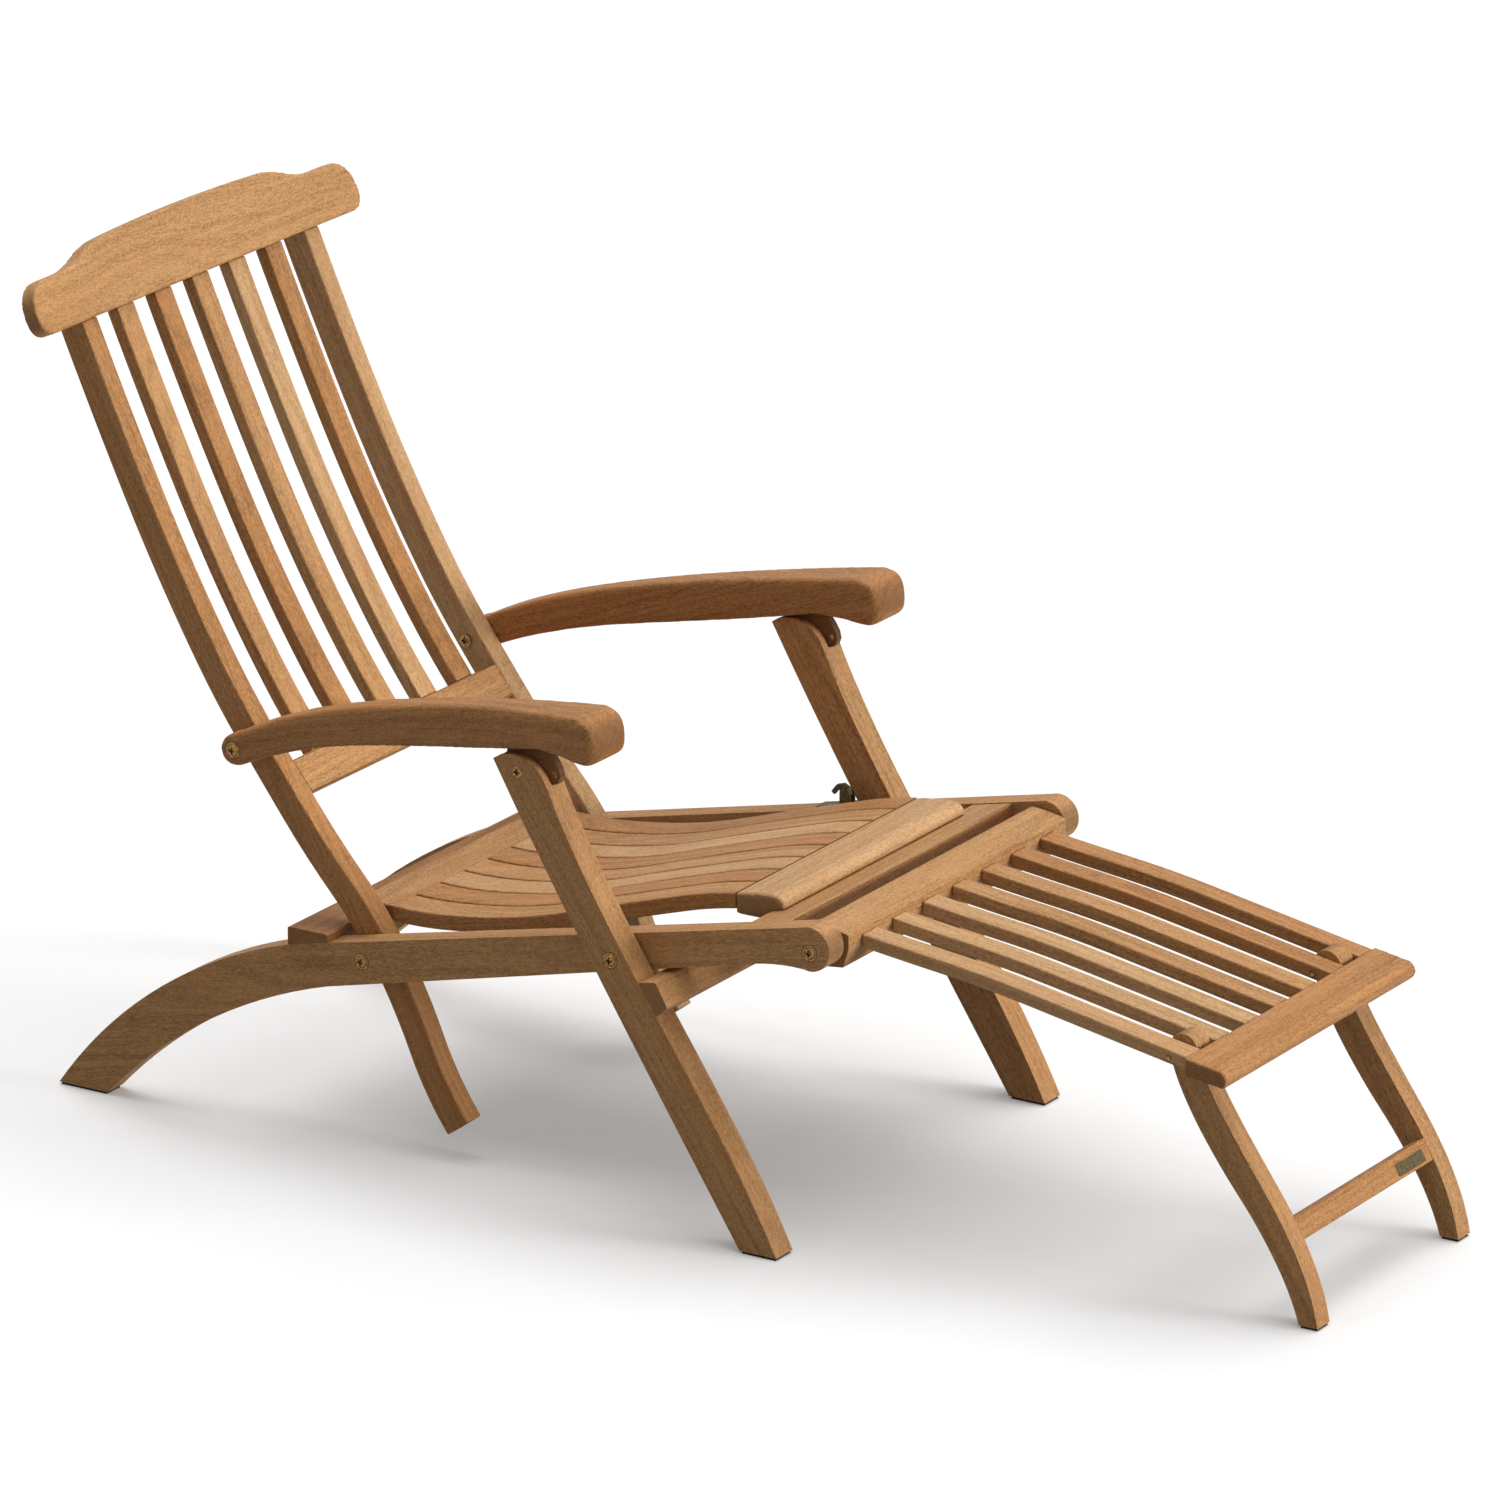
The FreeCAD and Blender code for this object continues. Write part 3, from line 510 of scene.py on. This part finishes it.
def dome(face, radius, rise):
    """Half of a dome's outline, from its rim at the face up to its crown."""
    turns = [math.pi / 2 * step / DOME_STEPS for step in range(DOME_STEPS + 1)]
    return [(face + rise * math.sin(turn), radius * math.cos(turn)) for turn in turns]


def inward_dome(face, radius, rise):
    """The same on the inner end of a turned piece, from its crown out to its rim."""
    return [(face - out, across) for out, across in reversed(dome(0.0, radius, rise))]


def turned(name, outline, centre, side, finish):
    """A round piece turned about a line across the chair, from (distance out, radius) pairs."""
    lathe = bmesh.new()
    rim = [lathe.verts.new((side * out, centre.y, centre.z + radius)) for out, radius in outline]
    edges = [lathe.edges.new(pair) for pair in zip(rim, rim[1:])]
    bmesh.ops.spin(lathe, geom=rim + edges, cent=(0, centre.y, centre.z), axis=(1, 0, 0),
                   angle=2 * math.pi, steps=TURNING_STEPS, use_merge=True)
    bmesh.ops.remove_doubles(lathe, verts=lathe.verts, dist=SEAM_GAP)
    return shaped(name, lathe, finish)


def cross_slot(piece, centre, side, crown):
    """Cuts a cross slot into the crown of a head."""
    work = bmesh.new()
    for size in ((SLOT_LONG, SLOT_WIDE), (SLOT_WIDE, SLOT_LONG)):
        block = bmesh.ops.create_cube(work, size=1.0)["verts"]
        bmesh.ops.scale(work, vec=(2 * SLOT_DEEP, *size), verts=block)
        bmesh.ops.translate(work, vec=(side * crown, centre.y, centre.z), verts=block)
    cutter = shaped("cutter", work, BRASS)
    cut = piece.modifiers.new("slot", "BOOLEAN")
    cut.object = cutter
    cut.solver = "EXACT"
    cut.use_self = True
    bpy.context.view_layer.update()
    done = piece.evaluated_get(bpy.context.evaluated_depsgraph_get())
    slotted = bpy.data.meshes.new_from_object(done)
    piece.modifiers.clear()
    whole, block = piece.data, cutter.data
    piece.data = slotted
    bpy.data.objects.remove(cutter)
    bpy.data.meshes.remove(block)
    bpy.data.meshes.remove(whole)


def bolt(name, side, face, washer, inner, nutted):
    """A bolt from its head at one face through a washer to its nut or its end in the wood."""
    low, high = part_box(name)
    centre = Vector((0, (low[1] + high[1]) / 2, (low[2] + high[2]) / 2))
    if nutted:
        outline = inward_dome(inner - NUT_THICK, NUT_DOME_RADIUS, NUT_DOME_RISE)
        outline += [(inner - NUT_THICK, NUT_RADIUS), (inner, NUT_RADIUS), (inner, SHANK_RADIUS)]
    else:
        outline = [(inner, 0.0), (inner, SHANK_RADIUS)]
    outline += [(washer[0], SHANK_RADIUS), (washer[0], WASHER_RADIUS), (washer[1], WASHER_RADIUS),
                (washer[1], SHANK_RADIUS), (face - HEAD_DEPTH, SHANK_RADIUS),
                (face - HEAD_DEPTH, HEAD_RADIUS), (face, HEAD_RADIUS),
                (face + RIM_RISE, HEAD_RADIUS - RIM_ROUND),
                (face + GROOVE_INNER, DOME_RADIUS + GROOVE_OUTER),
                (face - GROOVE_INNER, DOME_RADIUS + GROOVE_INNER)]
    outline += dome(face, DOME_RADIUS, DOME_RISE)
    label = "%s_%s" % (name[:-1], "left" if side > 0 else "right")
    piece = turned(label, outline, centre, side, BRASS)
    cross_slot(piece, centre, side, face + DOME_RISE)
    if nutted:
        cross_slot(piece, centre, side, inner - NUT_THICK - NUT_DOME_RISE)
    smooth = piece.modifiers.new("fair", "WEIGHTED_NORMAL")
    smooth.keep_sharp = True
    for facet in piece.data.polygons:
        facet.use_smooth = True
    piece.data.set_sharp_from_angle(angle=CREASE)
    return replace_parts(piece, name)


def reach(node):
    """How far out from the middle of the chair a left-hand piece begins and ends."""
    low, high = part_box(node)
    return low[0], high[0]


BRASS = dull_brass("dull_brass", BRIGHT_BRASS, BROWNED_BRASS, HANDLED_ROUGHNESS)

rail_in, rail_out = reach("side_rail_left")
stile_in, stile_out = reach("back_stile_left")
leg_in, leg_out = reach("front_leg_left")
rest_half = reach("footrest_rear_rail")[1]
for side in (1, -1):
    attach(bolt("back_pivot_bolts", side, rail_out, (stile_out, rail_in), stile_in, True), "frame")
    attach(bolt("leg_pivot_bolts", side, leg_out, (rail_out, leg_in), rail_in + BLIND_END, False), "frame")
    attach(bolt("arm_pivot_bolts", side, rail_out, (stile_out, rail_in), stile_in, True), "back")
    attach(bolt("footrest_pivot_bolts", side, rail_out, (rest_half, rail_in),
                 rest_half - REST_BOLT_REACH, False), "frame")

# Pins. Brass pins with a slotted head across the leg tops, on which the tongues hook, a rivet
# through the nose of each tongue, and plain pins through the leg rest's slats and legs.

PIN_RADIUS = 0.0040
PIN_HEAD_RADIUS = 0.0070
PIN_HEAD_RISE = 0.0022
PIN_HEAD_EDGE = 0.0002
RIVET_RADIUS = 0.0042
RIVET_RISE = 0.0008
RIVET_CENTRE = Vector((0, 0.0900, 0.4975))

low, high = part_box("arm_pins")
pin_centre = Vector((0, (low[1] + high[1]) / 2, (low[2] + high[2]) / 2))
for side, word in ((1, "left"), (-1, "right")):
    outline = [(leg_in + BLIND_END, 0.0), (leg_in + BLIND_END, PIN_RADIUS), (leg_out, PIN_RADIUS),
               (leg_out, PIN_HEAD_RADIUS)]
    outline += dome(leg_out + PIN_HEAD_EDGE, PIN_HEAD_RADIUS - PIN_HEAD_EDGE, PIN_HEAD_RISE)
    pin = turned("arm_pin_" + word, outline, pin_centre, side, BRASS)
    cross_slot(pin, pin_centre, side, leg_out + PIN_HEAD_RISE)
    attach(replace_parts(pin, "arm_pins"), "legs")
coated("footrest_leg_pins", BRASS)

tongue_in, tongue_out = reach("arm_tongue_left")
for side, word in ((1, "left"), (-1, "right")):
    outline = inward_dome(tongue_in, RIVET_RADIUS, RIVET_RISE) + dome(tongue_out, RIVET_RADIUS, RIVET_RISE)
    rivet = turned("tongue_rivet_" + word, outline, RIVET_CENTRE, side, BRASS)
    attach(rivet, "arm_" + word)

# Catch. A cast brass plate screwed on the left rail with two ears, and a hook hinged between
# them that holds the chair folded. It has gone dark and greenish outdoors.

BRONZE = (0.125, 0.092, 0.043, 1)
GREENED_BRONZE = (0.070, 0.062, 0.030, 1)
CAST_ROUGHNESS = 0.42
CAST_EDGE = 0.0007
CAST_STEPS = 2

DARK_BRASS = dull_brass("dark_brass", BRONZE, GREENED_BRONZE, CAST_ROUGHNESS)

for node in ("catch_plate", "catch_hook"):
    casting = coated(node, DARK_BRASS)
    joined(casting)
    eased(casting, "softened", CAST_EDGE, CAST_STEPS)

# Bare plate. A thin brass plate let in nearly flush on the bar of the leg rest's legs, near its
# left end, and held by two small nails.

PLATE_LONG = 0.058
PLATE_HIGH = 0.0135
PLATE_THICK = 0.0008
PLATE_DEPTH = 0.00128
PLATE_FROM_END = 0.014
PLATE_DOWN = 0.0155
PLATE_CORNER = 0.0012
PLATE_EDGE = 0.0002
CORNER_STEPS = 4
CORNERS = ((1, 1), (-1, 1), (-1, -1), (1, -1))
NAIL_RADIUS = 0.0011
NAIL_FLATNESS = 0.6
NAIL_FROM_END = 0.0035

plate_middle = bar_top + BAR_DOWN * PLATE_DOWN
plate_middle.x = rest_leg_low.x - PLATE_FROM_END - PLATE_LONG / 2


def on_bar(x, down, out):
    """A point on the bar's face, measured from the middle of the plate."""
    return plate_middle + Vector((x, 0, 0)) + BAR_DOWN * down + BAR_FACING * out


rim = []
for quarter, (x, down) in enumerate(CORNERS):
    for step in range(CORNER_STEPS + 1):
        angle = math.pi / 2 * (quarter + step / CORNER_STEPS)
        rim.append((x * (PLATE_LONG / 2 - PLATE_CORNER) + PLATE_CORNER * math.cos(angle),
                    down * (PLATE_HIGH / 2 - PLATE_CORNER) + PLATE_CORNER * math.sin(angle)))
work = bmesh.new()
sheet = work.faces.new([work.verts.new(on_bar(x, down, PLATE_THICK)) for x, down in rim])
edge = bmesh.ops.extrude_face_region(work, geom=[sheet])["geom"]
bmesh.ops.translate(work, vec=BAR_FACING * -PLATE_DEPTH,
                    verts=[part for part in edge if isinstance(part, bmesh.types.BMVert)])
plate = shaped("bare_plate", work, DARK_BRASS)
softened = plate.modifiers.new("softened", "BEVEL")
softened.width = PLATE_EDGE
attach(plate, "footrest_legs")
for end, word in ((-1, "right"), (1, "left")):
    head = on_bar(end * (PLATE_LONG / 2 - NAIL_FROM_END), 0, PLATE_THICK)
    work = bmesh.new()
    bmesh.ops.create_uvsphere(work, u_segments=16, v_segments=8, radius=NAIL_RADIUS)
    bmesh.ops.scale(work, vec=(1, 1, NAIL_FLATNESS), verts=work.verts)
    bmesh.ops.translate(work, vec=head, verts=work.verts)
    nail = shaped("plate_nail_" + word, work, BRASS)
    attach(nail, "footrest_legs")

# Pads. Thin black rubber plates nailed under the rail toes and the legs, a little dusty where
# they show.

SOOT = (0.018, 0.018, 0.018, 1)
DUST = (0.07, 0.065, 0.06, 1)
DUST_SHARE = 0.5
RUBBER_ROUGHNESS = 0.62
GRIT_DULL = 0.25
RUBBER_RELIEF = 0.0003


def black_rubber(name):
    """Rubber with a fine grit and a little dust on it."""
    finish = Finish(bpy.data.materials.new(name))
    place = finish.node("ShaderNodeTexCoord", output="Object")
    grit = finish.speckle(place, scale=900.0, detail=3.0, roughness=0.6)
    dust = finish.steps(finish.speckle(place, scale=60.0), low=0.45, high=0.75)
    colour = finish.blend(dust * DUST_SHARE, SOOT, DUST)
    return finish.surface(colour, RUBBER_ROUGHNESS + grit * GRIT_DULL, grit, RUBBER_RELIEF)


RUBBER = black_rubber("black_rubber")
for node in ("rail_pads", "leg_pads", "footrest_leg_pads"):
    coated(node, RUBBER)

# The studio. A pale floor without an edge in view, a broad soft lamp overhead, a smaller one low
# in front of the chair, and a white surround.

FLOOR_REACH = 60.0
PAPER = (0.93, 0.93, 0.93, 1)
PAPER_SPECK = (0.95, 0.95, 0.95, 1)
BOUNCE_GREY = (0.27, 0.27, 0.27, 1)
WHITE = (1, 1, 1, 1)
SHADOW_LIFT = 0.16
SKY_LEVEL = 0.32


def looked_at(finish):
    """1 for the rays that show the studio itself, to the eye or in brass, and 0 for its light."""
    eye, gloss, glass = [finish.node("ShaderNodeLightPath", output=kind)
                         for kind in ("Is Camera Ray", "Is Glossy Ray", "Is Transmission Ray")]
    return eye.maths("MAXIMUM", eye.maths("MAXIMUM", eye, gloss), glass)


floor_mesh = bpy.data.meshes.new("floor")
floor_mesh.from_pydata([(-FLOOR_REACH, -FLOOR_REACH, 0), (FLOOR_REACH, -FLOOR_REACH, 0),
                        (FLOOR_REACH, FLOOR_REACH, 0), (-FLOOR_REACH, FLOOR_REACH, 0)],
                       [], [(0, 1, 2, 3)])
floor = bpy.data.objects.new("floor", floor_mesh)
bpy.context.scene.collection.objects.link(floor)
paper = Finish(bpy.data.materials.new("white_paper"))
tooth = paper.speckle(paper.node("ShaderNodeTexCoord", output="Object"), scale=30.0)
seen = looked_at(paper)
paper_colour = paper.blend(seen, BOUNCE_GREY, paper.blend(tooth, PAPER, PAPER_SPECK))
matt = paper.node("ShaderNodeBsdfDiffuse", None, {"Color": paper_colour})
glow = paper.node("ShaderNodeEmission", None, {"Color": WHITE, "Strength": 1.0})
lifted = paper.node("ShaderNodeMixShader", None, {0: seen * SHADOW_LIFT, 1: matt, 2: glow})
paper.node("ShaderNodeOutputMaterial", None, {"Surface": lifted})
floor.data.materials.append(paper.owner)

world = bpy.data.worlds.new("surround")
bpy.context.scene.world = world
surround = Finish(world)
soft = surround.node("ShaderNodeBackground", None, {"Color": WHITE, "Strength": SKY_LEVEL})
plain = surround.node("ShaderNodeBackground", None, {"Color": WHITE, "Strength": 1.0})
mixed = surround.node("ShaderNodeMixShader", None, {0: looked_at(surround), 1: soft, 2: plain})
surround.node("ShaderNodeOutputWorld", None, {"Surface": mixed})


def lamp(name, energy, spread, towards):
    """A soft lamp far away, in the given direction from the chair."""
    data = bpy.data.lights.new(name, "SUN")
    data.energy = energy
    data.angle = math.radians(spread)
    light = bpy.data.objects.new(name, data)
    bpy.context.scene.collection.objects.link(light)
    light.rotation_euler = Vector(towards).to_track_quat("Z", "Y").to_euler()


lamp("overhead", energy=2.25, spread=56, towards=(0.20, 0.08, 0.97))
lamp("window", energy=2.40, spread=20, towards=(0.25, -0.95, 0.16))

# The camera. It stands far off in front, to the right of a person in the chair and a little above
# it, with a long lens.

SENSOR = 36.0
LENS = 264.4
FAR_END = 300.0
STAND = (-9.6813, -6.0750, 4.3068)
TILT = math.radians(71.4)
TURN = math.radians(-57.8)

camera_data = bpy.data.cameras.new("camera")
camera_data.sensor_width = SENSOR
camera_data.sensor_fit = "HORIZONTAL"
camera_data.lens = LENS
camera_data.clip_end = FAR_END
camera = bpy.data.objects.new("camera", camera_data)
bpy.context.scene.collection.objects.link(camera)
camera.location = STAND
camera.rotation_euler = (TILT, 0.0, TURN)
bpy.context.scene.camera = camera
bpy.context.scene.view_settings.view_transform = "Standard"
